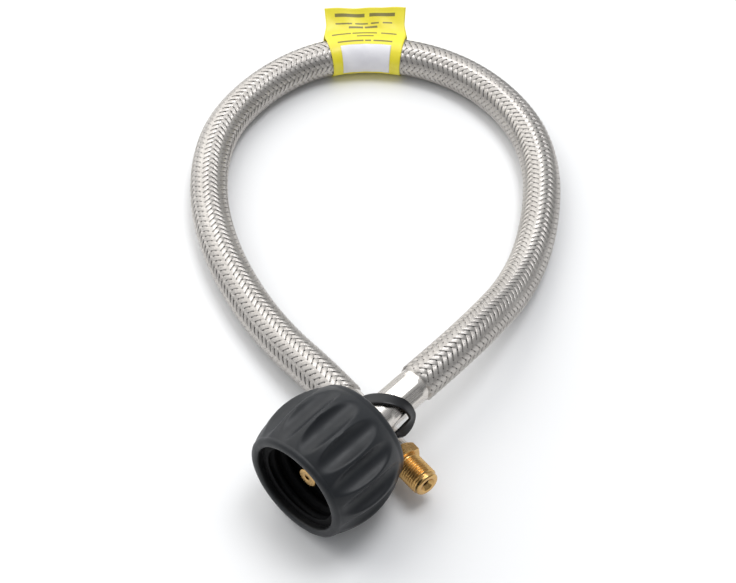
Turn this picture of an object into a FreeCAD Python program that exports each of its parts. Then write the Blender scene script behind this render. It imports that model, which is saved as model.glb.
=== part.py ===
"""Braided gas pigtail hose with a hand nut inlet and a threaded brass outlet, tied in a loop.

The inlet line (hand nut, nipple, ferrule) runs along the row's Y axis with the nut's mouth towards -Y.
The bench is at Z = 0. Turned pieces are drawn as half sections and revolved about their own axis.
"""
import FreeCAD, Part
import math
import os
import Sketcher

Vector = FreeCAD.Vector
Rotation = FreeCAD.Rotation
Placement = FreeCAD.Placement

doc = FreeCAD.newDocument("GasPigtail")

# ---------------------------------------------------------------- driving dimensions, in millimetres and degrees
DIMENSIONS = {
    "mouthSetback": 35.0,
    "axisHeight": 26.0,
    "outletHeight": 11.75,
    "outletX": 27.9,
    "outletY": 7.5,
    "outletHeading": 9.0,
    "runningGap": 0.05,
    "nutMouthRadius": 18.5,
    "nutRimRadius": 21.9,
    "nutBackRadius": 21.0,
    "nutArcRadius": 34.0,
    "nutLength": 37.5,
    "nutRimDepth": 3.0,
    "gripInnerRadius": 20.0,
    "fluteCount": 15.0,
    "fluteRadius": 5.4,
    "fluteAxisRadius": 27.98,
    "fluteTilt": -1.4,
    "flutePhase": 12.5,
    "webFront": 31.0,
    "webBack": 35.6,
    "webHoleRadius": 10.95,
    "threadCrestRadius": 15.9,
    "threadRootRadius": 17.3,
    "threadPitch": 5.08,
    "threadTurns": 4.0,
    "bushingRadius": 10.9,
    "bushingFlangeRadius": 13.5,
    "bushingFlangeFront": 28.2,
    "bushingEnd": 37.4,
    "ringGrooveRadius": 10.2,
    "ringOuterRadius": 13.2,
    "ringThickness": 1.2,
    "tipStation": 7.2,
    "tipRadius": 4.0,
    "tipHoleRadius": 0.9,
    "feedBoreRadius": 2.6,
    "chamberRadius": 4.2,
    "chamberStart": 28.0,
    "shoulderRadius": 9.0,
    "shoulderStart": 22.5,
    "shoulderThickness": 2.5,
    "washerThickness": 1.0,
    "shankRadius": 6.5,
    "shankEnd": 38.6,
    "spigotRadius": 5.0,
    "spigotEnd": 42.9,
    "poppetStart": 28.6,
    "poppetStemRadius": 1.5,
    "poppetHeadRadius": 2.5,
    "springRadius": 3.3,
    "springWireRadius": 0.3,
    "springTurns": 5.0,
    "retainerStart": 39.6,
    "retainerThickness": 1.8,
    "collarRadius": 6.6,
    "neckRadius": 4.9,
    "tailBoreRadius": 2.6,
    "barbRadius": 4.0,
    "barbRootRadius": 3.6,
    "ferruleRadius": 7.0,
    "ferruleBoreRadius": 6.1,
    "ferruleLength": 26.5,
    "ferruleLip": 1.5,
    "ferruleEnd": 70.0,
    "crimpFlatRadius": 6.72,
    "crimpCount": 8.0,
    "braidRadius": 8.0,
    "linerRadius": 7.0,
    "outletThreadRadius": 5.55,
    "outletThreadDepth": 0.6,
    "outletThreadPitch": 1.058,
    "outletThreadTurns": 9.0,
    "outletThreadEnd": 12.7,
    "outletHexFlats": 12.7,
    "outletHexLength": 4.7,
    "outletBoreRadius": 1.6,
    "outletCollarRadius": 5.8,
    "outletCollarLength": 5.6,
    "tieWidth": 4.6,
    "tieThickness": 1.3,
    "tieClearance": 0.15,
    "tieHeading": 36.0,
    "tieStation": 13.5,
    "tieUpperHalf": 10.3,
    "tieLowerHalf": 11.3,
    "tieLowerShift": 2.0,
    "tieHeadWidth": 6.4,
    "labelLength": 34.0,
    "labelThickness": 0.3,
    "labelShift": 5.5,
    "flagReach": 13.2,
    "flagRise": 38.0,
    "panelLength": 23.0,
}

# the hose's centre line from the inlet ferrule round the loop to the outlet ferrule: X, Y, Z
ROUTE = [
    (0.0, 35.0, 26.0),
    (0.0, 53.5, 26.0),
    (-3.8, 77.0, 20.4),
    (-9.6, 100.5, 12.8),
    (-18.6, 123.5, 8.5),
    (-31.0, 145.0, 8.35),
    (-47.6, 165.8, 8.35),
    (-69.0, 181.2, 8.35),
    (-97.0, 188.4, 8.35),
    (-124.4, 185.4, 8.35),
    (-148.9, 172.2, 8.35),
    (-165.4, 152.4, 8.35),
    (-171.7, 126.4, 8.35),
    (-168.9, 98.2, 8.35),
    (-158.0, 76.0, 8.35),
    (-138.2, 54.8, 8.35),
    (-113.0, 38.4, 8.35),
    (-84.6, 27.0, 8.35),
    (-60.2, 21.0, 9.4),
]
ROUTE_APPROACH = 18.0       # the last point lies this far out along the outlet's own axis
LABEL_CORNER = 10           # the route's point that the label is wrapped round

sheet = doc.addObject("Spreadsheet::Sheet", "Sizes")
for number, (alias, amount) in enumerate(DIMENSIONS.items(), start=1):
    sheet.set("A%d" % number, alias)
    sheet.set("B%d" % number, str(amount))
    sheet.setAlias("B%d" % number, alias)
doc.recompute()


class Size:
    """A length that knows both its number and the expression on the sheet that gives it."""

    def __init__(self, text, number):
        self.text = text
        self.number = number

    def __add__(self, other):
        return combine(self, "+", other)

    def __radd__(self, other):
        return combine(other, "+", self)

    def __sub__(self, other):
        return combine(self, "-", other)

    def __rsub__(self, other):
        return combine(other, "-", self)

    def __mul__(self, other):
        return combine(self, "*", other)

    def __rmul__(self, other):
        return combine(other, "*", self)

    def __truediv__(self, other):
        return combine(self, "/", other)


def as_size(amount):
    return amount if isinstance(amount, Size) else Size(repr(float(amount)), float(amount))


def combine(left, sign, right):
    left = as_size(left)
    right = as_size(right)
    number = {
        "+": left.number + right.number,
        "-": left.number - right.number,
        "*": left.number * right.number,
        "/": left.number / right.number if right.number else 0.0,
    }[sign]
    return Size("(%s %s %s)" % (left.text, sign, right.text), number)


def cell(alias):
    return Size("Sizes." + alias, float(sheet.get(alias)))


def number_of(alias):
    return float(sheet.get(alias))


# ---------------------------------------------------------------- the two lines that pieces are threaded on
INLET_LINE = Placement(Vector(0, -number_of("mouthSetback"), number_of("axisHeight")), Rotation(Vector(1, 0, 0), -90))
outlet_angle = math.radians(number_of("outletHeading"))
OUTLET_BACK = Vector(-math.cos(outlet_angle), math.sin(outlet_angle), 0)
OUTLET_TIP = Vector(number_of("outletX"), number_of("outletY"), number_of("outletHeight"))
OUTLET_LINE = Placement(OUTLET_TIP, Rotation(Vector(0, 0, 1), OUTLET_BACK))
PARTS = []


def keep(thing, label):
    """Names a finished sub-part and lists it for export."""
    thing.Label = label
    PARTS.append(thing)
    return thing


def place(thing, line):
    thing.Placement = line
    if line is INLET_LINE:
        thing.setExpression("Placement.Base.y", "-Sizes.mouthSetback")
        thing.setExpression("Placement.Base.z", "Sizes.axisHeight")
    if line is OUTLET_LINE:
        thing.setExpression("Placement.Base.x", "Sizes.outletX")
        thing.setExpression("Placement.Base.y", "Sizes.outletY")
        thing.setExpression("Placement.Base.z", "Sizes.outletHeight")


def origin_feature(body, role):
    return [feature for feature in body.Origin.OriginFeatures if feature.Role == role][0]


def pin_point(sketch, edge, end, across, along):
    """Dimensions one sketch point from the origin, or puts it on an axis where its distance is zero."""
    for distance, kind, axis in ((across, "DistanceX", -2), (along, "DistanceY", -1)):
        if abs(distance.number) < 1e-9:
            sketch.addConstraint(Sketcher.Constraint("PointOnObject", edge, end, axis))
        else:
            index = sketch.addConstraint(Sketcher.Constraint(kind, -1, 1, edge, end, distance.number))
            sketch.setExpression("Constraints[%d]" % index, distance.text)


def outline_sketch(body, name, outline):
    """Draws a closed half section; a point is (radius, station) or (radius, station, arc radius to the next)."""
    sketch = body.newObject("Sketcher::SketchObject", name)
    sketch.AttachmentSupport = [(origin_feature(body, "XZ_Plane"), "")]
    sketch.MapMode = "FlatFace"
    corners = [(as_size(point[0]), as_size(point[1])) for point in outline]
    starts = []
    for index, point in enumerate(outline):
        begin = Vector(corners[index][0].number, corners[index][1].number, 0)
        after = corners[(index + 1) % len(corners)]
        finish = Vector(after[0].number, after[1].number, 0)
        if len(point) < 3:
            edge = sketch.addGeometry(Part.LineSegment(begin, finish), False)
            starts.append((edge, 1, 2))
            continue
        bend = as_size(point[2])
        chord = finish - begin
        outward = Vector(chord.y, -chord.x, 0).normalize()
        rise = bend.number - math.sqrt(bend.number ** 2 - (chord.Length / 2) ** 2)
        middle = (begin + finish) * 0.5 + outward * rise
        edge = sketch.addGeometry(Part.Arc(begin, middle, finish), False)
        runs_forward = (sketch.getPoint(edge, 1) - begin).Length < 1e-6
        starts.append((edge, 1, 2) if runs_forward else (edge, 2, 1))
        index = sketch.addConstraint(Sketcher.Constraint("Radius", edge, bend.number))
        sketch.setExpression("Constraints[%d]" % index, bend.text)
    for index, (edge, begin, finish) in enumerate(starts):
        after = starts[(index + 1) % len(starts)]
        sketch.addConstraint(Sketcher.Constraint("Coincident", edge, finish, after[0], after[1]))
    for (edge, begin, finish), (across, along) in zip(starts, corners):
        pin_point(sketch, edge, begin, across, along)
    return sketch


def turned(name, line, outline):
    """A body turned about its own Z axis from a half section, then laid on a line."""
    body = doc.addObject("PartDesign::Body", name)
    sketch = outline_sketch(body, name + "_section", outline)
    turn = body.newObject("PartDesign::Revolution", name + "_turn")
    turn.Profile = (sketch, [""])
    turn.ReferenceAxis = (sketch, ["V_Axis"])
    turn.Angle = 360
    sketch.Visibility = False
    body.Tip = turn
    doc.recompute()
    place(body, line)
    return body


def cut_round(body, cutter, count):
    """Repeats a subtractive feature round the body's axis and checks that it really removed material."""
    before = body.Tip.Shape.Volume if body.Tip is not cutter else cutter.BaseFeature.Shape.Volume
    pattern = body.newObject("PartDesign::PolarPattern", cutter.Name + "_round")
    pattern.Originals = [cutter]
    pattern.Axis = (origin_feature(body, "Z_Axis"), [""])
    pattern.Angle = 360
    pattern.Occurrences = int(count.number)
    pattern.setExpression("Occurrences", count.text)
    body.Tip = pattern
    doc.recompute()
    if pattern.Shape.Volume >= before:
        raise RuntimeError(cutter.Name + " removed nothing")


# ---------------------------------------------------------------- hand nut
def grooved_bore(crest, root, pitch, turns, first):
    """The corners of a trapezoid thread's section, as one groove for each turn."""
    corners = []
    for turn in range(turns):
        foot = first + pitch * turn
        corners += [
            (crest, foot),
            (root, foot + pitch * 0.22),
            (root, foot + pitch * 0.56),
            (crest, foot + pitch * 0.78),
        ]
    return corners


def build_hand_nut():
    mouth = cell("nutMouthRadius")
    rim = cell("nutRimRadius")
    back = cell("nutBackRadius")
    length = cell("nutLength")
    inner = cell("gripInnerRadius")
    depth = cell("nutRimDepth")
    edge_round = 1.3
    grip = turned("hand_nut_grip", INLET_LINE, [
        (mouth, edge_round),
        (mouth + edge_round, 0),
        (rim - edge_round, 0, edge_round * 1.2),
        (rim, edge_round, cell("nutArcRadius")),
        (back, length - 2.0, 2.6),
        (back - 2.2, length),
        (cell("ringOuterRadius") + 1.2, length),
        (cell("ringOuterRadius") + 1.2, cell("webBack")),
        (inner, cell("webBack")),
        (inner, depth),
        (mouth, depth),
    ])
    flute = grip.newObject("PartDesign::SubtractiveCylinder", "flute")
    phase = -number_of("flutePhase")
    lean = Rotation(Vector(0, 0, 1), phase).multiply(Rotation(Vector(0, 1, 0), -number_of("fluteTilt")))
    foot = Rotation(Vector(0, 0, 1), phase).multVec(Vector(number_of("fluteAxisRadius"), 0, 2.0))
    flute.AttachmentSupport = [(origin_feature(grip, "XY_Plane"), "")]
    flute.MapMode = "FlatFace"
    flute.AttachmentOffset = Placement(foot, lean)
    flute.setExpression("Radius", "Sizes.fluteRadius")
    flute.setExpression("Height", "Sizes.nutLength - 1")
    doc.recompute()
    cut_round(grip, flute, cell("fluteCount"))
    keep(grip, "hand_nut_grip")

    crest = cell("threadCrestRadius")
    root = cell("threadRootRadius")
    turns = int(number_of("threadTurns"))
    first = depth + 1.0
    thread = grooved_bore(crest, root, cell("threadPitch"), turns, first)
    insert = turned("nut_thread_insert", INLET_LINE, [(inner, depth), (inner, cell("webBack")),
                    (cell("webHoleRadius"), cell("webBack")), (cell("webHoleRadius"), cell("webFront")),
                    (crest, cell("webFront"))] + thread[::-1] + [(crest, depth)])
    keep(insert, "nut_thread_insert")


def build_bushing():
    shank = cell("shankRadius") + cell("runningGap")
    groove = cell("ringGrooveRadius")
    sleeve = cell("bushingRadius")
    ring_front = cell("webBack") + 0.2
    ring_back = ring_front + cell("ringThickness")
    flange = cell("bushingFlangeFront")
    end = cell("bushingEnd")
    bushing = turned("thermal_bushing", INLET_LINE, [
        (shank, flange),
        (cell("bushingFlangeRadius") - 0.6, flange),
        (cell("bushingFlangeRadius"), flange + 0.6),
        (cell("bushingFlangeRadius"), cell("webFront") - 0.2),
        (sleeve, cell("webFront") - 0.2),
        (sleeve, ring_front),
        (groove, ring_front),
        (groove, ring_back),
        (sleeve - 0.4, ring_back),
        (sleeve - 0.4, end),
        (shank, end),
    ])
    keep(bushing, "thermal_bushing")
    ring = turned("retaining_ring", INLET_LINE, [
        (groove, ring_front),
        (cell("ringOuterRadius"), ring_front),
        (cell("ringOuterRadius"), ring_back),
        (groove, ring_back),
    ])
    keep(ring, "retaining_ring")


# ---------------------------------------------------------------- nipple and the flow limiter inside it
def build_nipple():
    tip = cell("tipStation")
    shoulder = cell("shoulderStart")
    shoulder_back = shoulder + cell("shoulderThickness")
    chamber = cell("chamberRadius")
    chamber_start = cell("chamberStart")
    nipple = turned("inlet_nipple", INLET_LINE, [
        (cell("tipHoleRadius"), tip),
        (cell("tipRadius") - 0.5, tip),
        (cell("tipRadius"), tip + 0.5),
        (cell("tipRadius"), tip + 8.0),
        (5.2, tip + 10.0),
        (5.2, shoulder),
        (cell("shoulderRadius") - 0.5, shoulder),
        (cell("shoulderRadius"), shoulder + 0.5),
        (cell("shoulderRadius"), shoulder_back),
        (cell("shankRadius"), shoulder_back),
        (cell("shankRadius"), cell("shankEnd")),
        (cell("spigotRadius"), cell("shankEnd")),
        (cell("spigotRadius"), cell("spigotEnd")),
        (chamber, cell("spigotEnd")),
        (chamber, chamber_start),
        (cell("feedBoreRadius"), chamber_start),
        (cell("feedBoreRadius"), tip + 3.5),
        (cell("tipHoleRadius"), tip + 2.5),
    ])
    keep(nipple, "inlet_nipple")
    washer = turned("thrust_washer", INLET_LINE, [
        (cell("shankRadius"), shoulder_back),
        (cell("shoulderRadius") + 0.5, shoulder_back),
        (cell("shoulderRadius") + 0.5, shoulder_back + cell("washerThickness")),
        (cell("shankRadius"), shoulder_back + cell("washerThickness")),
    ])
    keep(washer, "thrust_washer")


def build_flow_limiter():
    start = cell("poppetStart")
    guide = cell("chamberRadius") - cell("runningGap")
    stem = cell("poppetStemRadius")
    head = cell("poppetHeadRadius")
    poppet = turned("flow_poppet", INLET_LINE, [
        (0, start),
        (guide, start),
        (guide, start + 2.0),
        (stem, start + 2.0),
        (stem, start + 5.6),
        (head, start + 5.6),
        (head, start + 6.2),
        (head - 0.7, start + 6.2),
        (head - 0.7, start + 7.2),
        (head, start + 7.2),
        (head, start + 7.6),
        (0, start + 7.6),
    ])
    notch = poppet.newObject("PartDesign::SubtractiveBox", "flow_notch")
    notch.AttachmentSupport = [(origin_feature(poppet, "XY_Plane"), "")]
    notch.MapMode = "FlatFace"
    notch.AttachmentOffset = Placement(Vector(2.7, -0.9, start.number - 0.5), Rotation())
    notch.Length = 3.0
    notch.Width = 1.8
    notch.Height = 3.0
    doc.recompute()
    cut_round(poppet, notch, as_size(4))
    keep(poppet, "flow_poppet")
    seal = turned("poppet_seal", INLET_LINE, [
        (head - 0.7, start + 6.2),
        (head + 0.1, start + 6.3),
        (head + 0.1, start + 7.1),
        (head - 0.7, start + 7.2),
    ])
    keep(seal, "poppet_seal")

    front = cell("retainerStart")
    retainer = turned("flow_retainer", INLET_LINE, [
        (1.7, front + 0.5),
        (2.2, front),
        (cell("chamberRadius"), front),
        (cell("chamberRadius"), front + cell("retainerThickness")),
        (1.7, front + cell("retainerThickness")),
    ])
    keep(retainer, "flow_retainer")

    wire_radius = number_of("springWireRadius")
    foot = start.number + 2.0 + wire_radius + 0.05
    height = front.number - 0.05 - wire_radius - foot
    radius = number_of("springRadius")
    pitch = height / number_of("springTurns")
    coil = Part.makeLongHelix(pitch, height, radius)
    slope = math.atan2(pitch, 2 * math.pi * radius)
    along = Vector(0, math.cos(slope), math.sin(slope))
    section = Part.Wire([Part.makeCircle(wire_radius, Vector(radius, 0, 0), along)])
    spring = doc.addObject("Part::Feature", "flow_spring")
    spring.Shape = Part.Wire(coil.Edges).makePipeShell([section], True, True)
    spring.Placement = INLET_LINE.multiply(Placement(Vector(0, 0, foot), Rotation()))
    keep(spring, "flow_spring")


# ---------------------------------------------------------------- hose tails and crimped ferrules
def tail_outline(front, collar_length, collar, socket, socket_depth, line_end):
    """Half section of a hose tail: a socketed collar, a neck under the ferrule's lip, then three barbs."""
    bore = cell("tailBoreRadius")
    neck = cell("neckRadius")
    barb = cell("barbRadius")
    root = cell("barbRootRadius")
    collar_back = front + collar_length
    neck_back = collar_back + cell("ferruleLip")
    corners = [
        (socket, front),
        (collar - 0.4, front),
        (collar, front + 0.4),
        (collar, collar_back - 0.4),
        (collar - 0.4, collar_back),
        (neck, collar_back),
        (neck, neck_back),
        (barb, neck_back),
    ]
    barb_pitch = 5.0
    for step in range(3):
        foot = neck_back + 2.0 + barb_pitch * step
        corners += [(barb, foot), (root, foot + 0.8), (barb, foot + barb_pitch - 0.2)]
    corners += [
        (root, line_end),
        (bore, line_end),
        (bore, front + socket_depth),
        (socket, front + socket_depth),
    ]
    return corners


def build_ferrule(name, line, front):
    outer = cell("ferruleRadius")
    bore = cell("ferruleBoreRadius")
    neck = cell("neckRadius")
    back = front + cell("ferruleLength")
    lip = front + cell("ferruleLip")
    ferrule = turned(name, line, [
        (neck, front),
        (outer - 0.6, front),
        (outer, front + 0.6),
        (outer, back - 0.5),
        (outer - 0.4, back),
        (bore, back),
        (bore, lip),
        (neck, lip),
    ])
    flat = ferrule.newObject("PartDesign::SubtractiveBox", name + "_crimp")
    flat.AttachmentSupport = [(origin_feature(ferrule, "XY_Plane"), "")]
    flat.MapMode = "FlatFace"
    crimp_start = front.number + 4.0
    flat.AttachmentOffset = Placement(Vector(number_of("crimpFlatRadius"), -4, crimp_start), Rotation())
    flat.Length = 2.0
    flat.Width = 8.0
    flat.setExpression("Height", "Sizes.ferruleLength - 7")
    doc.recompute()
    cut_round(ferrule, flat, cell("crimpCount"))
    keep(ferrule, name)


def build_inlet_tail():
    seal_front = cell("shankEnd")
    seal_back = seal_front + 0.6
    seal = turned("nipple_seal", INLET_LINE, [
        (cell("spigotRadius"), seal_front),
        (cell("shankRadius") - 0.1, seal_front),
        (cell("shankRadius") - 0.1, seal_back),
        (cell("spigotRadius"), seal_back),
    ])
    keep(seal, "nipple_seal")
    ferrule_front = cell("ferruleEnd") - cell("ferruleLength")
    tail = turned("inlet_hose_tail", INLET_LINE, tail_outline(
        seal_back, ferrule_front - seal_back, cell("collarRadius"), cell("spigotRadius"),
        cell("spigotEnd") - seal_back, cell("ferruleEnd") - 4.0))
    keep(tail, "inlet_hose_tail")
    build_ferrule("inlet_ferrule", INLET_LINE, ferrule_front)


def build_outlet_end():
    bore = cell("outletBoreRadius")
    major = cell("outletThreadRadius")
    minor = major - cell("outletThreadDepth")
    pitch = cell("outletThreadPitch")
    end = cell("outletThreadEnd")
    hex_back = end + cell("outletHexLength")
    first = end - 0.9 - pitch * number_of("outletThreadTurns")
    outline = [(bore, 1.2), (bore + 1.3, 0), (minor - 0.5, 0), (minor, 0.5)]
    for turn in range(int(number_of("outletThreadTurns"))):
        foot = first + pitch * turn
        outline += [(minor, foot), (major, foot + pitch * 0.45), (major, foot + pitch * 0.55)]
    outline += [
        (minor, end - 0.9),
        (minor, end),
        (6.0, end),
        (6.0, hex_back),
        (4.0, hex_back),
        (4.0, hex_back + 4.0),
        (bore, hex_back + 4.0),
    ]
    core = turned("outlet_core", OUTLET_LINE, outline)
    prism = doc.addObject("Part::Prism", "outlet_hexagon")
    prism.Polygon = 6
    prism.setExpression("Circumradius", "Sizes.outletHexFlats / 2 / cos(30 deg)")
    prism.setExpression("Height", "Sizes.outletHexLength")
    above = OUTLET_LINE.Rotation.inverted().multVec(Vector(0, 0, 1))
    corner_up = Rotation(Vector(0, 0, 1), math.degrees(math.atan2(above.y, above.x)))
    prism.Placement = OUTLET_LINE.multiply(Placement(Vector(0, 0, end.number), corner_up))
    corner_trim = turned("outlet_hexagon_trim", OUTLET_LINE, [
        (0, end),
        (cell("outletHexFlats") / 2, end),
        (7.5, end + 0.8),
        (7.5, hex_back - 0.8),
        (cell("outletHexFlats") / 2, hex_back),
        (0, hex_back),
    ])
    trimmed = doc.addObject("Part::Common", "outlet_hexagon_trimmed")
    trimmed.Base = prism
    trimmed.Tool = corner_trim
    passage = doc.addObject("Part::Cylinder", "outlet_hexagon_passage")
    passage.setExpression("Radius", "Sizes.outletBoreRadius + 2")
    passage.Height = 30
    passage.Placement = OUTLET_LINE
    collar = doc.addObject("Part::Cut", "outlet_hexagon_ring")
    collar.Base = trimmed
    collar.Tool = passage
    fitting = doc.addObject("Part::Fuse", "outlet_fitting")
    fitting.Base = core
    fitting.Tool = collar
    doc.recompute()
    keep(fitting, "outlet_fitting")

    collar_length = cell("outletCollarLength")
    ferrule_front = hex_back + collar_length
    ferrule_back = ferrule_front + cell("ferruleLength")
    tail = turned("outlet_hose_tail", OUTLET_LINE, tail_outline(
        hex_back, collar_length, cell("outletCollarRadius"), as_size(4.0), as_size(4.0), ferrule_back - 4.0))
    keep(tail, "outlet_hose_tail")
    build_ferrule("outlet_ferrule", OUTLET_LINE, ferrule_front)
    return ferrule_back.number


# ---------------------------------------------------------------- hose
def rounded_path(points):
    """Straight runs joined by tangent arcs, each arc as large as its two runs allow."""
    edges = []
    radii = []
    last = points[0]
    for index in range(1, len(points) - 1):
        here = points[index]
        into = (here - points[index - 1])
        away = (points[index + 1] - here)
        turn = into.getAngle(away)
        run = min(into.Length, away.Length)
        bend = 0.45 * run / math.tan(turn / 2)
        radii.append(bend)
        reach = bend * math.tan(turn / 2)
        first = here - into.normalize() * reach
        second = here + away.normalize() * reach
        inward = (second - here).normalize() + (first - here).normalize()
        middle = here + inward.normalize() * (bend / math.cos(turn / 2) - bend)
        edges.append(Part.LineSegment(last, first).toShape())
        edges.append(Part.Arc(first, middle, second).toShape())
        last = second
    edges.append(Part.LineSegment(last, points[-1]).toShape())
    return Part.Wire(edges), radii


def stretch_of(path, begin, finish):
    """The part of a path between two distances along it."""
    pieces = []
    travelled = 0.0
    for edge in path.Edges:
        low = max(begin - travelled, 0.0)
        high = min(finish - travelled, edge.Length)
        if high - low > 1e-6:
            pieces.append(edge.Curve.toShape(edge.getParameterByLength(low), edge.getParameterByLength(high)))
        travelled += edge.Length
    return Part.Wire(pieces)


def spot_on(path, distance):
    """The point and the direction at a distance along a path."""
    travelled = 0.0
    for edge in path.Edges:
        if distance <= travelled + edge.Length:
            parameter = edge.getParameterByLength(distance - travelled)
            return edge.valueAt(parameter), edge.tangentAt(parameter)
        travelled += edge.Length
    raise RuntimeError("the distance is past the path's end")


def swept_rod(path, radius):
    """A closed round rod along a path."""
    start = path.Edges[0]
    ring = Part.makeCircle(radius, start.valueAt(start.FirstParameter), start.tangentAt(start.FirstParameter))
    return path.makePipeShell([Part.Wire([ring])], True, False)


def solid_of(shape):
    """The single solid held by a boolean's result."""
    if len(shape.Solids) != 1:
        raise RuntimeError("expected one solid, found %d" % len(shape.Solids))
    return shape.Solids[0]


def rod_between(start, end, radius):
    direction = end - start
    return Part.makeCylinder(radius, direction.Length, start, direction)


def add_shape(name, shape):
    piece = doc.addObject("Part::Feature", name)
    piece.Shape = shape
    return keep(piece, name)


def build_hose(outlet_ferrule_back):
    outlet_mouth = OUTLET_TIP + OUTLET_BACK * outlet_ferrule_back
    approach = outlet_mouth + OUTLET_BACK * ROUTE_APPROACH
    points = [Vector(*point) for point in ROUTE] + [approach, outlet_mouth]
    path, radii = rounded_path(points)
    print("hose centre line length %.1f" % path.Length)
    print("hose bend radii " + ", ".join("%.0f" % radius for radius in radii))
    outer = swept_rod(path, number_of("braidRadius"))
    middle = swept_rod(path, number_of("linerRadius"))
    inner = swept_rod(path, number_of("barbRadius"))
    braid = solid_of(outer.cut(middle))
    hidden = number_of("ferruleLength") - number_of("ferruleLip")
    inlet_end = points[0] - Vector(0, hidden, 0)
    outlet_end = outlet_mouth - OUTLET_BACK * hidden
    squeezed = number_of("ferruleBoreRadius")
    liner = middle
    bore = inner
    for mouth, end in ((points[0], inlet_end), (outlet_mouth, outlet_end)):
        liner = liner.fuse(rod_between(end, mouth, squeezed))
        bore = bore.fuse(rod_between(end, mouth, number_of("barbRadius")))
    liner = solid_of(liner.cut(bore))
    section = math.pi * (number_of("braidRadius") ** 2 - number_of("linerRadius") ** 2)
    print("braid volume over section times length %.4f" % (braid.Volume / (section * path.Length)))
    add_shape("hose_liner", liner)
    add_shape("hose_braid", braid)
    return path


# ---------------------------------------------------------------- label, and the tie round the crossing ends
def build_label(hose_path):
    half = number_of("labelLength") / 2
    bend_edge = 2 * LABEL_CORNER - 1
    centre = sum(edge.Length for edge in hose_path.Edges[:bend_edge]) + hose_path.Edges[bend_edge].Length / 2
    centre += number_of("labelShift")
    path = stretch_of(hose_path, centre - half, centre + half)
    thickness = number_of("labelThickness")
    braid = number_of("braidRadius")
    sleeve = swept_rod(path, braid + thickness).cut(swept_rod(path, braid))
    middle, along = spot_on(hose_path, centre)
    up = Vector(0, 0, 1)
    outward = along.cross(up)
    rise = math.radians(number_of("flagRise"))
    lift = outward * math.cos(rise) + up * math.sin(rise)
    normal = along.cross(lift)
    reach = braid + number_of("flagReach")
    corner = middle + lift * (braid + 0.1) - along * half - normal * thickness
    flag = Part.makeBox(number_of("labelLength"), reach - braid, 2 * thickness)
    flag.Placement = Placement(corner, Rotation(along, lift, normal, "XYZ"))
    foot = swept_rod(path, braid)
    label = sleeve.fuse(flag.cut(foot))
    add_shape("label", solid_of(label.removeSplitter()))

    panel_half = number_of("panelLength") / 2
    shell = swept_rod(path, braid + 2 * thickness).cut(swept_rod(path, braid + thickness))
    panel_box = Part.makeBox(number_of("panelLength"), 14.0, 9.0)
    panel_corner = middle - along * panel_half - outward * (braid + 3.0) - up * 3.5
    panel_box.Placement = Placement(panel_corner, Rotation(along, up, outward, "XYZ"))
    add_shape("label_panel", solid_of(shell.common(panel_box)))


def loop_outline(grow):
    """The strap's loop in its own plane: a half ellipse over the inlet ferrule and one under the outlet's."""
    upper = Vector(0, number_of("axisHeight"), 0)
    lower = Vector(-number_of("tieLowerShift"), number_of("outletHeight"), 0)
    ferrule = number_of("ferruleRadius") + grow
    over = Part.Ellipse(upper, number_of("tieUpperHalf") + grow, ferrule)
    under = Part.Ellipse(lower, number_of("tieLowerHalf") + grow, ferrule)
    top = Part.ArcOfEllipse(over, 0, math.pi)
    bottom = Part.ArcOfEllipse(under, math.pi, 2 * math.pi)
    left = Part.LineSegment(top.EndPoint, bottom.StartPoint)
    right = Part.LineSegment(bottom.EndPoint, top.StartPoint)
    return Part.Wire([top.toShape(), left.toShape(), bottom.toShape(), right.toShape()])


def build_cable_tie():
    """A nylon tie whose strap and head are one moulding; the head sits in the crotch of the crossing."""
    width = number_of("tieWidth")
    head_width = number_of("tieHeadWidth")
    clearance = number_of("tieClearance")
    outer = Part.Face(loop_outline(clearance + number_of("tieThickness")))
    inner = Part.Face(loop_outline(clearance))
    strap = outer.cut(inner).extrude(Vector(0, 0, width))
    strap.translate(Vector(0, 0, -width / 2))
    head_depth = 4.1
    head_height = 6.6
    head_side = number_of("tieUpperHalf") + clearance + 0.1
    head = Part.makeBox(head_depth, head_height, head_width)
    head.translate(Vector(-head_side - head_depth, number_of("axisHeight") - 6.2, -head_width / 2))
    head = head.makeFillet(0.7, head.Edges)
    heading = Rotation(Vector(0, 0, 1), number_of("tieHeading"))
    upright = heading.multiply(Rotation(Vector(1, 0, 0), 90))
    loop = strap.fuse(head)
    loop.Placement = Placement(Vector(0, number_of("tieStation"), 0), upright)
    hug = number_of("ferruleRadius") + 0.05
    for line in (INLET_LINE, OUTLET_LINE):
        core = Part.makeCylinder(hug, 80)
        core.Placement = line
        loop = loop.cut(core)
    tie = doc.addObject("Part::Feature", "cable_tie")
    tie.Shape = solid_of(loop)
    keep(tie, "cable_tie")


build_hand_nut()
build_bushing()
build_nipple()
build_flow_limiter()
build_inlet_tail()
outlet_ferrule_back = build_outlet_end()
hose_path = build_hose(outlet_ferrule_back)
build_label(hose_path)
build_cable_tie()
doc.recompute()

for thing in doc.Objects:
    if "Invalid" in thing.State or "Error" in thing.State:
        raise RuntimeError("%s failed: %s" % (thing.Name, thing.State))
for part in PARTS:
    if part.Shape.isNull() or not part.Shape.isValid():
        raise RuntimeError(part.Label + " has no valid shape")
os.makedirs("parts", exist_ok=True)
for part in PARTS:
    part.Shape.exportStep("parts/%s.step" % part.Label)
print("%d parts" % len(PARTS))
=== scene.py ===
"""The looks of a braided gas hose with a hand nut and a brass outlet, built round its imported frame."""
import math

import bmesh
import bpy
import numpy as np
from mathutils import Matrix, Vector


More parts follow.
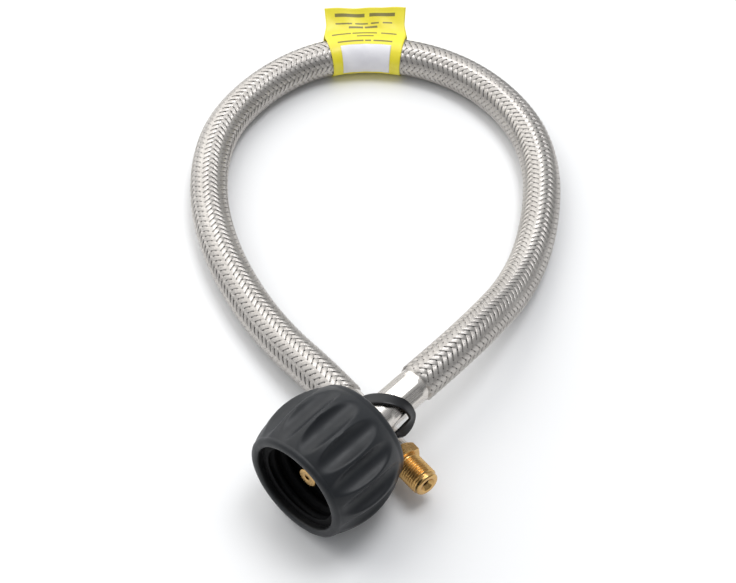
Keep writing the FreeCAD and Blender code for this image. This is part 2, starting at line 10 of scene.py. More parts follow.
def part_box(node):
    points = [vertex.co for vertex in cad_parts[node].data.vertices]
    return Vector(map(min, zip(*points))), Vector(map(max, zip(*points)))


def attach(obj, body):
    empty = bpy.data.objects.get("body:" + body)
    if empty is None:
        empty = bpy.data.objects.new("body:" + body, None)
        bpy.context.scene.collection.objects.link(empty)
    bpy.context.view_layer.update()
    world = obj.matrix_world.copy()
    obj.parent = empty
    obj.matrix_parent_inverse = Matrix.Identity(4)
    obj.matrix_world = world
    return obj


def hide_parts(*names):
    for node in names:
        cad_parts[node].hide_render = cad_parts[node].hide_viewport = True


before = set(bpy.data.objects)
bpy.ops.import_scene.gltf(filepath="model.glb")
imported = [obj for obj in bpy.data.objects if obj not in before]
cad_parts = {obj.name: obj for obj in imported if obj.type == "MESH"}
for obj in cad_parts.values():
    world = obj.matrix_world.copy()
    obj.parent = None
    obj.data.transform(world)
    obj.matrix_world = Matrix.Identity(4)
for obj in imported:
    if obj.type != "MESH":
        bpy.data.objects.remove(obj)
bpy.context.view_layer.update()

MM = 0.001
TURN = 2 * math.pi

# the inlet line runs from the nut's mouth along the hose, and the outlet line from the brass tip inwards
INLET = Matrix(((1, 0, 0, 0), (0, 0, 1, -35 * MM), (0, -1, 0, 26 * MM), (0, 0, 0, 1)))
OUTLET_BACK = Vector((-0.987688, 0.156434, 0))
OUTLET_TIP = Vector((27.9 * MM, 7.5 * MM, 11.75 * MM))
OUTLET_SIDE = OUTLET_BACK.cross(Vector((0, 0, 1)))
OUTLET = Matrix((
    (0, OUTLET_SIDE.x, OUTLET_BACK.x, OUTLET_TIP.x),
    (0, OUTLET_SIDE.y, OUTLET_BACK.y, OUTLET_TIP.y),
    (1, 0, 0, OUTLET_TIP.z),
    (0, 0, 0, 1),
))

# the hose's centre line in millimetres, from the inlet ferrule round the loop to the outlet ferrule
HOSE_ROUTE = [
    (0.0, 35.0, 26.0),
    (0.0, 53.5, 26.0),
    (-3.8, 77.0, 20.4),
    (-9.6, 100.5, 12.8),
    (-18.6, 123.5, 8.5),
    (-31.0, 145.0, 8.35),
    (-47.6, 165.8, 8.35),
    (-69.0, 181.2, 8.35),
    (-97.0, 188.4, 8.35),
    (-124.4, 185.4, 8.35),
    (-148.9, 172.2, 8.35),
    (-165.4, 152.4, 8.35),
    (-171.7, 126.4, 8.35),
    (-168.9, 98.2, 8.35),
    (-158.0, 76.0, 8.35),
    (-138.2, 54.8, 8.35),
    (-113.0, 38.4, 8.35),
    (-84.6, 27.0, 8.35),
    (-60.2, 21.0, 9.4),
    (-38.77, 18.06, 11.75),
    (-20.99, 15.24, 11.75),
]

CARRIERS = 12
BRAID_RADIUS = 7.62
BRAID_SLOPE = 1.43
WEAVE_RISE = 0.17
STRAND_HALF = 0.93
STRAND_POINTS = 13
STRAND_STEPS = 1000
# the braid starts this far before the hose line, and the inlet ferrule is as much shorter
BRAID_OVERLAP = 3.8

NUT_ARC = 34.0
FLUTES = 15
FLUTE_RADIUS = 5.4
FLUTE_AXIS = 27.98
FLUTE_FOOT = 2.0
FLUTE_TILT = math.radians(1.4)
FLUTE_TURN = math.radians(-12.5)
FLUTE_EASE = 0.8
NUT_PITCH = 5.08
OUTLET_PITCH = 1.058
FERRULE_LENGTH = 26.5
CRIMPS = 8
MOUTH_SHADE_RADIUS = 0.0187  # metres; inside it the grip's colour is darkened to near black as painted shade

STRAP_HALF_WIDTH = 2.3
STRAP_HALF_THICKNESS = 0.6
STRAP_ROUTE_RADIUS = 7.95
STRAP_INNER_RADIUS = 7.08
STRAP_OUTER_RADIUS = 8.1
TIE_STATION = 13.5

LABEL_LENGTH = 34.0
FLAG_LENGTH = 11.0
PANEL_LENGTH = 23.5


# ---------------------------------------------------------------- camera and hose line
def build_camera():
    azimuth = math.radians(42.8)
    elevation = math.radians(49.0)
    level = math.cos(elevation)
    back = Vector((math.sin(azimuth) * level, -math.cos(azimuth) * level, math.sin(elevation)))
    target = Vector((-0.0601, 0.0698, 0.0))
    camera = bpy.data.objects.new("camera", bpy.data.cameras.new("camera"))
    camera.data.sensor_width = 36.0
    camera.data.lens = 97.83
    camera.location = target + back * 0.82
    camera.rotation_mode = "QUATERNION"
    camera.rotation_quaternion = back.to_track_quat("Z", "Y")
    bpy.context.scene.collection.objects.link(camera)
    bpy.context.scene.camera = camera


class HoseLine:
    """A smooth line through a route, with a frame at any distance along it."""

    def __init__(self, route):
        curve = bpy.data.curves.new("hose_line", "CURVE")
        curve.dimensions = "3D"
        curve.resolution_u = 60
        spline = curve.splines.new("NURBS")
        spline.points.add(len(route) - 1)
        for point, place in zip(spline.points, route):
            point.co = (place[0] * MM, place[1] * MM, place[2] * MM, 1.0)
        spline.order_u = 3
        spline.use_endpoint_u = True
        holder = bpy.data.objects.new("hose_line", curve)
        mesh = bpy.data.meshes.new_from_object(holder)
        points = np.array([vertex.co[:] for vertex in mesh.vertices])
        bpy.data.objects.remove(holder)
        bpy.data.meshes.remove(mesh)
        steps = np.linalg.norm(np.diff(points, axis=0), axis=1)
        self.points = points[np.concatenate(([True], steps > 1e-7))]
        steps = np.linalg.norm(np.diff(self.points, axis=0), axis=1)
        self.distance = np.concatenate(([0.0], np.cumsum(steps)))
        self.length = float(self.distance[-1])
        self.heading = np.gradient(self.points, self.distance, axis=0)

    def frames(self, along):
        """Place, direction, upward and sideways vectors at distances along the line."""
        inside = np.clip(along, 0, self.length)
        place = np.stack([np.interp(inside, self.distance, self.points[:, axis]) for axis in range(3)], -1)
        ahead = np.stack([np.interp(inside, self.distance, self.heading[:, axis]) for axis in range(3)], -1)
        ahead /= np.linalg.norm(ahead, axis=-1, keepdims=True)
        place = place + ahead * (along - inside)[..., None]
        up = np.array([0.0, 0.0, 1.0]) - ahead * ahead[..., 2:3]
        up /= np.linalg.norm(up, axis=-1, keepdims=True)
        return place, ahead, up, np.cross(ahead, up)

    def around(self, along, angle, radius):
        """Points on a round surface about the line."""
        place, _, up, side = self.frames(along)
        return place + radius[..., None] * (np.cos(angle)[..., None] * up + np.sin(angle)[..., None] * side)

    def nearest(self, point):
        """The distance along the line that is nearest to a point."""
        return float(self.distance[np.argmin(np.linalg.norm(self.points - np.array(point), axis=1))])


# ---------------------------------------------------------------- mesh helpers
def read_points(mesh):
    points = np.empty(len(mesh.vertices) * 3)
    mesh.vertices.foreach_get("co", points)
    return points.reshape(-1, 3)


def write_points(mesh, points):
    mesh.vertices.foreach_set("co", np.ascontiguousarray(points).ravel())
    mesh.update()


def write_uv(mesh, across, along):
    layer = mesh.uv_layers.new(name="surface")
    corner = np.empty(len(mesh.loops), dtype=np.int32)
    mesh.loops.foreach_get("vertex_index", corner)
    layer.data.foreach_set("uv", np.stack([across[corner], along[corner]], -1).ravel())


def mesh_from(bm, name):
    mesh = bpy.data.meshes.new(name)
    bm.to_mesh(mesh)
    bm.free()
    return mesh


def face_outwards(mesh):
    bm = bmesh.new()
    bm.from_mesh(mesh)
    bmesh.ops.recalc_face_normals(bm, faces=bm.faces)
    bm.to_mesh(mesh)
    bm.free()


def as_piece(mesh, name, finish, body, nodes, sharp=35.0):
    """Puts a finished mesh into the scene, on its body, in place of its CAD nodes."""
    mesh.shade_smooth()
    mesh.set_sharp_from_angle(angle=math.radians(sharp))
    mesh.materials.append(finish)
    piece = bpy.data.objects.new(name, mesh)
    bpy.context.scene.collection.objects.link(piece)
    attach(piece, body)
    if nodes:
        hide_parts(*nodes)
    return piece


def straight_tube(ring, steps, capped=True):
    """A unit tube of that many steps up the Z axis, ready to be wound along something."""
    bm = bmesh.new()
    bmesh.ops.create_circle(bm, segments=ring, radius=1.0, cap_ends=False)
    bmesh.ops.spin(
        bm, geom=bm.verts[:] + bm.edges[:], cent=(0, 0, 0), axis=(0, 0, 1), dvec=(0, 0, 1),
        angle=0.0, steps=steps, use_duplicate=False)
    if capped:
        for level in (0, steps):
            rim = [edge for edge in bm.edges if all(abs(vert.co.z - level) < 0.5 for vert in edge.verts)]
            bmesh.ops.contextual_create(bm, geom=rim)
    return bm


def eased(corners, cuts=4):
    """An outline of (radius, station, ease) corners in which each corner with an ease is rounded."""
    outline = []
    count = len(corners)
    for index, corner in enumerate(corners):
        here = Vector(corner[:2])
        ease = corner[2] if len(corner) > 2 else 0
        if not ease:
            outline.append(here)
            continue
        before = (Vector(corners[index - 1][:2]) - here).normalized() * ease
        after = (Vector(corners[(index + 1) % count][:2]) - here).normalized() * ease
        for cut in range(cuts + 1):
            t = cut / cuts
            outline.append(here + before * (1 - t) ** 2 + after * t ** 2)
    return outline


def filled(outline, gap):
    """An outline with points added so that no step is longer than the gap."""
    points = []
    for index, here in enumerate(outline):
        after = outline[(index + 1) % len(outline)]
        pieces = max(1, math.ceil((after - here).length / gap))
        points += [here.lerp(after, step / pieces) for step in range(pieces)]
    return points


def turned(outline, steps, line, name, shape=None):
    """A closed outline of (radius, station) turned round a line; shape moves each point by its angle."""
    bm = bmesh.new()
    first = bm.verts.new((outline[0][0], 0, outline[0][1]))
    last = first
    for radius, station in outline[1:]:
        grown = bmesh.ops.extrude_vert_indiv(bm, verts=[last])
        last = grown["verts"][0]
        last.co = (radius, 0, station)
    bm.edges.new((last, first))
    bmesh.ops.spin(
        bm, geom=bm.verts[:] + bm.edges[:], cent=(0, 0, 0), axis=(0, 0, 1), dvec=(0, 0, 0),
        angle=TURN, steps=steps, use_merge=True, use_duplicate=False)
    bmesh.ops.remove_doubles(bm, verts=bm.verts, dist=1e-4)
    mesh = mesh_from(bm, name)
    if shape:
        points = read_points(mesh)
        radius = np.hypot(points[:, 0], points[:, 1])
        angle = np.arctan2(points[:, 1], points[:, 0])
        radius, station = shape(radius, angle, points[:, 2])
        write_points(mesh, np.stack([radius * np.cos(angle), radius * np.sin(angle), station], -1))
    mesh.transform(line @ Matrix.Diagonal((MM, MM, MM, 1)))
    face_outwards(mesh)
    return mesh


def smooth_step(low, high, value):
    t = np.clip((value - low) / (high - low), 0, 1)
    return t * t * (3 - 2 * t)


def soft_least(first, second, blend):
    """The smaller of two values, with the change from one to the other rounded."""
    near = np.clip(blend - np.abs(first - second), 0, None) / blend
    return np.minimum(first, second) - near * near * blend / 4


def facet_angle(angle, count, offset=0.0):
    """Each angle's distance from the middle of its own facet."""
    step = TURN / count
    return (angle - offset + step / 2) % step - step / 2


# ---------------------------------------------------------------- materials
class Level:
    """A number that varies over a surface; sums on it add the nodes that work them out."""

    def __init__(self, finish, socket):
        self.finish = finish
        self.socket = socket

    def sum(self, operation, *values):
        inputs = {index: value for index, value in enumerate(values)}
        return self.finish.add("ShaderNodeMath", {"operation": operation}, inputs)

    def __add__(self, other):
        return self.sum("ADD", self, other)

    def __radd__(self, other):
        return self.sum("ADD", other, self)

    def __sub__(self, other):
        return self.sum("SUBTRACT", self, other)

    def __rsub__(self, other):
        return self.sum("SUBTRACT", other, self)

    def __mul__(self, other):
        return self.sum("MULTIPLY", self, other)

    def __rmul__(self, other):
        return self.sum("MULTIPLY", other, self)

    def __gt__(self, other):
        return self.sum("GREATER_THAN", self, other)

    def __lt__(self, other):
        return self.sum("LESS_THAN", self, other)

    def wave(self):
        return self.sum("SINE", self)

    def size(self):
        return self.sum("ABSOLUTE", self)


class Finish:
    """One material, with a shader and the nodes that drive it."""

    def __init__(self, name, **constants):
        self.material = bpy.data.materials.new(name)
        self.material.use_nodes = True
        self.nodes = self.material.node_tree.nodes
        self.links = self.material.node_tree.links
        self.nodes.clear()
        self.shader = self.nodes.new("ShaderNodeBsdfPrincipled")
        output = self.nodes.new("ShaderNodeOutputMaterial")
        self.links.new(self.shader.outputs[0], output.inputs["Surface"])
        for socket, value in constants.items():
            self.shader.inputs[socket.replace("_", " ").title()].default_value = value
        self.place = self.add("ShaderNodeTexCoord", output="Object")

    def add(self, kind, settings=None, inputs=None, output=0):
        node = self.nodes.new(kind)
        for key, value in (settings or {}).items():
            if key == "stops":
                for stop, (position, colour) in zip(node.color_ramp.elements, value):
                    stop.position = position
                    stop.color = colour
            else:
                setattr(node, key, value)
        for key, value in (inputs or {}).items():
            self.feed(node.inputs[key], value)
        return Level(self, node.outputs[output])

    def feed(self, socket, value):
        if isinstance(value, Level):
            self.links.new(value.socket, socket)
        else:
            socket.default_value = value

    def set(self, name, value):
        self.feed(self.shader.inputs[name], value)

    def grain(self, scale, detail=2.0, stretch=(1, 1, 1), where=None):
        """Cloudy variation from 0 to 1, with so many clouds to the metre."""
        spread = self.add(
            "ShaderNodeVectorMath", {"operation": "MULTIPLY"}, {0: where or self.place, 1: stretch})
        return self.add("ShaderNodeTexNoise", None, {"Vector": spread, "Scale": scale, "Detail": detail})

    def spread(self, level, low, high):
        """A level stretched to run between two values."""
        return self.add(
            "ShaderNodeMapRange", {"clamp": True},
            {"Value": level, "From Min": 0.3, "From Max": 0.7, "To Min": low, "To Max": high})

    def blend(self, factor, first, second):
        return self.add(
            "ShaderNodeMix", {"data_type": "RGBA"}, {0: factor, 6: first, 7: second}, output=2)

    def along(self, direction):
        """How far a point lies in a direction, in metres."""
        return self.add(
            "ShaderNodeVectorMath", {"operation": "DOT_PRODUCT"}, {0: self.place, 1: direction},
            output="Value")

    def surface(self):
        """The piece's own across and along values."""
        pair = self.add("ShaderNodeTexCoord", output="UV")
        split = self.nodes.new("ShaderNodeSeparateXYZ")
        self.links.new(pair.socket, split.inputs[0])
        return Level(self, split.outputs[0]), Level(self, split.outputs[1])

    def emboss(self, height, strength, depth):
        bump = self.add(
            "ShaderNodeBump", None, {"Height": height, "Strength": strength, "Distance": depth},
            output="Normal")
        self.set("Normal", bump)


def grip_rubber():
    finish = Finish("grip_rubber")
    cloud = finish.grain(60, 3)
    from_axis = finish.add(
        "ShaderNodeVectorMath", {"operation": "SUBTRACT"}, {0: finish.place, 1: (0, 0, 0.026)})
    level = finish.add("ShaderNodeVectorMath", {"operation": "MULTIPLY"}, {0: from_axis, 1: (1, 0, 1)})
    reach = finish.add("ShaderNodeVectorMath", {"operation": "LENGTH"}, {0: level}, output="Value")
    rubber = finish.blend(finish.spread(cloud, 0, 1), (0.0068, 0.0084, 0.0108, 1), (0.0115, 0.0138, 0.017, 1))
    # within the mouth radius the rubber colour is darkened to near black: painted shade inside the bore
    finish.set("Base Color", finish.blend((reach < MOUTH_SHADE_RADIUS) * 0.9, rubber, (0.0008, 0.0008, 0.001, 1)))
    finish.set("Roughness", finish.spread(finish.grain(170, 4), 0.40, 0.52))
    finish.set("Specular IOR Level", 0.42)
    finish.emboss(finish.grain(3200, 3), 0.22, 0.00008)
    return finish.material


def dark_plastic(name, tone, low, high, gloss=0.5):
    finish = Finish(name)
    finish.set("Specular IOR Level", gloss)
    finish.set("Base Color", finish.blend(
        finish.spread(finish.grain(150, 3), 0, 1), (*tone, 1), tuple(1.6 * part for part in tone) + (1,)))
    finish.set("Roughness", finish.spread(finish.grain(300, 3), low, high))
    finish.emboss(finish.grain(1800, 2), 0.12, 0.00006)
    return finish.material


def turned_brass(name, direction):
    finish = Finish(name, metallic=1.0)
    station = finish.along(direction)
    line = finish.add("ShaderNodeCombineXYZ", None, {0: station})
    marks = finish.grain(9000, 2, where=line)
    tarnish = finish.spread(finish.grain(150, 3), 0, 1)
    bright = finish.blend(tarnish, (0.70, 0.455, 0.18, 1), (0.60, 0.37, 0.135, 1))
    finish.set("Base Color", finish.blend(finish.spread(marks, 0, 0.2), bright, (0.52, 0.29, 0.10, 1)))
    finish.set("Roughness", finish.spread(finish.grain(260, 3), 0.22, 0.30))
    return finish.material


def plated_steel(name, direction):
    finish = Finish(name, metallic=1.0)
    station = finish.along(direction)
    squeeze = finish.add(
        "ShaderNodeVectorMath", {"operation": "SCALE"}, {0: direction, "Scale": station * 0.96})
    flat = finish.add("ShaderNodeVectorMath", {"operation": "SUBTRACT"}, {0: finish.place, 1: squeeze})
    streaks = finish.grain(1500, 3, where=flat)
    finish.set("Base Color", finish.blend(
        finish.spread(finish.grain(120, 3), 0, 1), (0.70, 0.665, 0.62, 1), (0.60, 0.57, 0.535, 1)))
    finish.set("Roughness", finish.spread(streaks, 0.21, 0.31))
    finish.emboss(streaks, 0.12, 0.00004)
    return finish.material


def braid_wire():
    finish = Finish("braid_wire", metallic=1.0)
    across, _ = finish.surface()
    wires = (across * (TURN * 6) - TURN / 4).wave()
    tone = finish.blend(
        finish.spread(finish.grain(45, 3), 0, 1), (0.68, 0.655, 0.62, 1), (0.57, 0.545, 0.515, 1))
    rubbed = finish.blend(finish.spread(finish.grain(900, 2), 0, 0.5), tone, (0.45, 0.415, 0.385, 1))
    # the grooves between the wires are darkened with painted shade
    finish.set("Base Color", finish.blend((wires < -0.55) * 0.6, rubbed, (0.15, 0.135, 0.125, 1)))
    finish.set("Roughness", finish.spread(finish.grain(500, 3), 0.30, 0.42))
    finish.emboss(wires, 0.5, 0.00004)
    return finish.material


def label_film(bars, drop):
    finish = Finish("label_film", coat_weight=0.25, coat_roughness=0.3)
    across, along = finish.surface()
    ink = None
    for left, right, middle, height in bars:
        low, high = 1 - right, 1 - left
        beside = (across > low) * (across < high)
        within = (along - middle / drop).size() < height / (2 * drop)
        bar = beside * within
        ink = bar if ink is None else ink + bar
    yellow = finish.blend(
        finish.spread(finish.grain(90, 3), 0, 1), (0.90, 0.80, 0.035, 1), (0.84, 0.72, 0.03, 1))
    finish.set("Base Color", finish.blend(ink * 0.86, yellow, (0.10, 0.085, 0.03, 1)))
    finish.set("Roughness", finish.spread(finish.grain(250, 2), 0.32, 0.48))
    finish.emboss(finish.grain(240, 2), 0.25, 0.0003)
    return finish.material


def panel_film():
    finish = Finish("panel_film", coat_weight=0.2, coat_roughness=0.3)
    finish.set("Base Color", finish.blend(
        finish.spread(finish.grain(110, 3), 0, 1), (0.86, 0.85, 0.88, 1), (0.76, 0.75, 0.79, 1)))
    finish.set("Roughness", finish.spread(finish.grain(200, 2), 0.35, 0.5))
    finish.emboss(finish.grain(260, 3), 0.35, 0.0003)
    return finish.material


def bench_top():
    finish = Finish("bench_top")
    finish.set("Base Color", finish.blend(
        finish.spread(finish.grain(3, 2), 0, 1), (0.90, 0.90, 0.90, 1), (0.885, 0.885, 0.885, 1)))
    finish.set("Roughness", finish.spread(finish.grain(20, 2), 0.55, 0.65))
    return finish.material


# ---------------------------------------------------------------- hose
def build_core(line, finish):
    """The hose's dark inner wall, which shows between the strands."""
    steps = 320
    spare = 2 * MM
    mesh = mesh_from(straight_tube(32, steps), "hose_core")
    flat = read_points(mesh)
    start = -BRAID_OVERLAP * MM
    along = flat[:, 2] / steps * (line.length - start + 2 * spare) + start - spare
    angle = np.arctan2(flat[:, 1], flat[:, 0])
    mouth = np.minimum(along - start, line.length - along)
    radius = (6.0 + 1.26 * smooth_step(-0.6 * MM, 1.4 * MM, mouth)) * MM
    write_points(mesh, line.around(along, angle, radius))
    write_uv(mesh, angle / TURN, along / line.length)
    face_outwards(mesh)
    core = as_piece(mesh, "hose_core", finish, "hose_assembly", ["hose_liner"])
    rings = np.arange(steps + 1) / steps * (line.length + 2 * spare) - spare
    return core, line.frames(rings)[0]


def build_strands(line, hand, first, finish):
    """Half of the wire bundles that wind one way round the hose, over two and under two."""
    count = CARRIERS // 2
    bm = straight_tube(STRAND_POINTS, STRAND_STEPS)
    bundle = bm.verts[:] + bm.edges[:] + bm.faces[:]
    for copy in range(1, count):
        doubled = bmesh.ops.duplicate(bm, geom=bundle)
        moved = [item for item in doubled["geom"] if isinstance(item, bmesh.types.BMVert)]
        bmesh.ops.translate(bm, vec=(4.0 * copy, 0, 0), verts=moved)
    name = "braid_%s_%s" % ("right" if hand > 0 else "left", "outer" if first else "inner")
    mesh = mesh_from(bm, name)
    flat = read_points(mesh)
    number = np.rint(flat[:, 0] / 4.0)
    angle = np.arctan2(flat[:, 1], flat[:, 0] - 4.0 * number)
    point = np.rint(angle / TURN * STRAND_POINTS) % STRAND_POINTS
    across = point / (STRAND_POINTS - 1) * 2 - 1
    spare = 2 * MM
    start = -BRAID_OVERLAP * MM
    centre = flat[:, 2] / STRAND_STEPS * (line.length - start + 2 * spare) + start - spare
    radius = BRAID_RADIUS * MM
    turn = TURN / CARRIERS * (2 * number + first) + hand * centre * BRAID_SLOPE / radius
    lift = np.tanh(2.4 * np.sin(turn * CARRIERS / 2 + TURN / 8)) / math.tanh(2.4)
    crown = 0.13 * (1 - across ** 4) + 0.05 * (point % 2)
    height = (hand * WEAVE_RISE * lift + crown) * MM
    steep = BRAID_SLOPE / math.hypot(1, BRAID_SLOPE)
    shallow = 1 / math.hypot(1, BRAID_SLOPE)
    sideways = across * STRAND_HALF * MM
    along = centre - hand * sideways * steep
    around = turn + sideways * shallow / radius
    mouth = np.minimum(along - start, line.length - along)
    tuck = smooth_step(-0.9 * MM, 1.1 * MM, mouth)
    reach = 6.55 * MM + (radius + height - 6.55 * MM) * tuck
    write_points(mesh, line.around(along, around, reach))
    write_uv(mesh, (across + 1) / 2, centre * 100 + number)
    face_outwards(mesh)
    return as_piece(mesh, name, finish, "hose_assembly", ["hose_braid"], 60.0)


# ---------------------------------------------------------------- hand nut
def nut_outline():
    rim = Vector((21.9, 1.3))
    back = Vector((21.0, 35.5))
    chord = back - rim
    reach = math.sqrt(NUT_ARC ** 2 - chord.length_squared / 4)
    inward = Vector((-chord.y, chord.x)).normalized()
    centre = (rim + back) / 2 + inward * reach
    barrel = []
    low = math.atan2(rim.y - centre.y, rim.x - centre.x)
    high = math.atan2(back.y - centre.y, back.x - centre.x)
    for step in range(1, 96):
        angle = low + (high - low) * step / 96
        barrel.append(centre + NUT_ARC * Vector((math.cos(angle), math.sin(angle))))
    front = eased([(20.0, 3.4), (18.5, 3.4), (18.5, 0, 1.5), (21.75, 0, 1.65), barrel[6][:]], 6)[:-1]
    barrel = [point for point in barrel if point.y > front[-1].y + 0.2]
    rear = eased([barrel[-3][:], (21.2, 37.5, 2.6), (14.4, 37.5, 0.5), (14.4, 35.6), (20.0, 35.6)], 8)[1:]
    return front + barrel[:-3] + rear


def cut_flutes(radius, angle, station):
    """Scoops the grip's flutes with a round cutter that leans out a little towards the back."""
    away = facet_angle(angle, FLUTES, FLUTE_TURN)
    cutter = FLUTE_AXIS + (station - FLUTE_FOOT) * math.tan(FLUTE_TILT)
    off = np.abs(cutter * np.sin(away))
    chord = np.sqrt(np.clip(FLUTE_RADIUS ** 2 - off ** 2, 0, None))
    scoop = cutter * np.cos(away) - chord + 3.0 * np.clip(off - FLUTE_RADIUS, 0, None)
    outside = radius > 20.6
    return np.where(outside, soft_least(radius, scoop, FLUTE_EASE), radius), station


def build_hand_nut(grip_finish, insert_finish):
    outline = [Vector(point) for point in nut_outline()]
    grip = turned(outline, 480, INLET, "nut_grip", cut_flutes)
    as_piece(grip, "nut_grip", grip_finish, "nut", ["hand_nut_grip"], 50.0)

    def acme_thread(radius, angle, station):
        phase = (station / NUT_PITCH - angle / TURN) % 1.0
        groove = smooth_step(0.0, 0.22, phase) - smooth_step(0.56, 0.78, phase)
        fade = smooth_step(3.6, 5.0, station) - smooth_step(25.0, 27.5, station)
        return np.where(radius < 16.4, radius + 1.4 * groove * fade, radius), station

    corners = eased([
        (20.0, 3.1, 0.3), (20.0, 35.4), (11.0, 35.4, 0.3), (11.0, 31.0, 0.4), (15.9, 31.0, 0.4),
        (15.9, 3.1, 0.6)])
    insert = turned(filled(corners, 0.45), 144, INLET, "nut_thread", acme_thread)
    as_piece(insert, "nut_thread", insert_finish, "nut", ["nut_thread_insert"], 50.0)


# ---------------------------------------------------------------- brass
def build_nipple(finish):
    outline = eased([
        (0.9, 7.2, 0.25), (4.0, 7.2, 0.55), (4.0, 15.2, 0.8), (5.2, 17.2, 0.8), (5.2, 22.5, 0.4),
        (9.0, 22.5, 0.5),
        (9.0, 25.0, 0.3), (6.5, 25.0), (6.5, 38.6, 0.2), (5.0, 38.6), (5.0, 42.9, 0.2), (4.2, 42.9),
        (4.2, 28.0, 0.3), (2.6, 28.0), (2.6, 10.7), (0.9, 9.7)])
    nipple = turned(outline, 96, INLET, "nipple")
    as_piece(nipple, "nipple", finish, "hose_assembly", ["inlet_nipple"])


def build_outlet_fitting(finish):
    """The brass outlet in one turning: a coned bore, a true helical thread and a trimmed hexagon."""
    half_flat = 6.35

    def thread_and_hexagon(radius, angle, station):
        phase = (station / OUTLET_PITCH + angle / TURN) % 1.0
        crest = 1 - np.abs(np.cos(math.pi * phase)) ** 1.6
        fade = smooth_step(1.3, 2.2, station) - smooth_step(11.4, 12.2, station)
        threaded = (radius > 4.6) & (radius < 5.3) & (station > 0.3) & (station < 12.2)
        radius = np.where(threaded, radius + 0.6 * crest * fade, radius)
        flat = half_flat / np.cos(facet_angle(angle, 6, TURN / 12))
        return np.where(radius > 6.0, np.minimum(radius, flat), radius), station

    cone = eased([(1.6, 3.0), (1.6, 1.6), (3.1, 0.0, 0.35), (4.45, 0.0, 0.2), (4.95, 0.5, 0.1)])
    front = filled(cone, 0.5)[:-1]
    front = [point for point in front if point.y < 0.51 or point.x < 2]
    thread = [Vector((4.95, 0.5 + 0.085 * step)) for step in range(1, 137)]
    hexagon = [Vector((4.95, 12.6)), Vector((5.0, 12.7))]
    hexagon += [Vector((6.3 + 1.15 * step / 8, 12.7 + 0.66 * step / 8)) for step in range(9)]
    hexagon += [Vector((7.45 - 1.15 * step / 8, 16.74 + 0.66 * step / 8)) for step in range(9)]
    rear = [Vector(point) for point in ((4.0, 17.4), (4.0, 21.3), (1.6, 21.3), (1.6, 12.0))]
    mesh = turned(front + thread + hexagon + rear, 144, OUTLET, "outlet_brass", thread_and_hexagon)
    as_piece(mesh, "outlet_brass", finish, "hose_assembly", ["outlet_fitting"], 28.0)


# ---------------------------------------------------------------- ferrules and collars
def build_ferrule(name, node, line, front, length, finish):
    """A ferrule crimped in eight long flats, with a rounded lip at each end."""
    back = front + length
    outline = eased([
        (4.9, front), (7.0, front, 0.7), (7.0, back, 0.45), (6.1, back, 0.2), (6.1, front + 1.5),
        (4.9, front + 1.5)])

    def crimp(radius, angle, station):
        flat = 6.70 / np.cos(facet_angle(angle, CRIMPS, TURN / 32))
        pressed = smooth_step(front + 3.2, front + 4.6, station)
        pressed = pressed - smooth_step(back - 3.4, back - 2.2, station)
        squeezed = soft_least(radius, flat, 0.08)
        return np.where(radius > 6.4, radius + (squeezed - radius) * pressed, radius), station

    mesh = turned(filled(outline, 0.55), 192, line, name, crimp)
    as_piece(mesh, name, finish, "hose_assembly", [node], 30.0)


def build_collar(name, node, line, front, length, radius, socket, depth, finish):
    """The hose tail: a collar with a groove before the ferrule, and its barbs inside the hose."""
    back = front + length
    outline = [
        (socket, front, 0.2), (radius, front, 0.5), (radius, back - 1.3, 0.3),
        (radius - 0.5, back - 1.1, 0.1), (radius - 0.5, back - 0.7, 0.1), (radius - 0.1, back - 0.5, 0.1),
        (radius - 0.1, back, 0.3),
        (4.9, back), (4.9, back + 1.5), (4.0, back + 1.5)]
    for barb in range(3):
        foot = back + 3.5 + 5.0 * barb
        outline += [(4.0, foot), (3.6, foot + 0.8), (4.0, foot + 4.8)]
    outline += [(3.6, back + 22.5), (2.6, back + 22.5), (2.6, front + depth), (socket, front + depth)]
    mesh = turned(eased(outline), 96, line, name)
    as_piece(mesh, name, finish, "hose_assembly", [node], 35.0)


# ---------------------------------------------------------------- cable tie
# the strap's route in millimetres: down past the outlet collar, under the hose, up to the head and back over
TIE_ROUTE = [
    (9.0, 19.9, 26.2),
    (9.1, 18.3, 23.4),
    (8.8, 15.8, 20.9),
    (8.0, 12.3, 19.2),
    (7.0, 7.4, 17.9),
    (5.9, 4.3, 14.6),
    (5.0, 3.9, 10.8),
    (4.0, 5.4, 5.9),
    (1.5, 9.4, 3.7),
    (-4.5, 14.6, 3.6),
    (-8.8, 19.0, 5.6),
    (-10.8, 21.4, 11.4),
    (-11.2, 16.0, 17.4),
    (-10.4, 9.8, 22.0),
    (-8.8, 7.1, 27.2),
    (-5.3, 9.6, 32.9),
    (0.3, 13.5, 34.4),
    (5.7, 17.5, 32.7),
]


def closed_curve(route):
    """A smooth closed line through the neighbourhood of a route's points, in millimetres."""
    curve = bpy.data.curves.new("strap_line", "CURVE")
    curve.dimensions = "3D"
    curve.resolution_u = 24
    spline = curve.splines.new("NURBS")
    spline.points.add(len(route) - 1)
    for point, place in zip(spline.points, route):
        point.co = (*place, 1.0)
    spline.order_u = 3
    spline.use_cyclic_u = True
    holder = bpy.data.objects.new("strap_line", curve)
    mesh = bpy.data.meshes.new_from_object(holder)
    points = read_points(mesh)
    bpy.data.objects.remove(holder)
    bpy.data.meshes.remove(mesh)
    return np.concatenate([points, points[:1]])


def even_points(path, count):
    """Points spaced evenly along an open path, with their distances."""
    steps = np.linalg.norm(np.diff(path, axis=0), axis=1)
    far = np.concatenate(([0.0], np.cumsum(steps)))
    along = np.linspace(0, far[-1], count)
    return np.stack([np.interp(along, far, path[:, axis]) for axis in range(path.shape[1])], -1), along


def clear_of(points, line, radius):
    """Moves points out to at least a radius from a line."""
    origin = np.array(line.translation)
    axis = np.array(line.col[2][:3])
    away = points - origin
    station = away @ axis
    away = away - station[:, None] * axis
    length = np.linalg.norm(away, axis=1)
    push = np.clip(radius - length, 0, None)
    return points + away / length[:, None] * push[:, None]


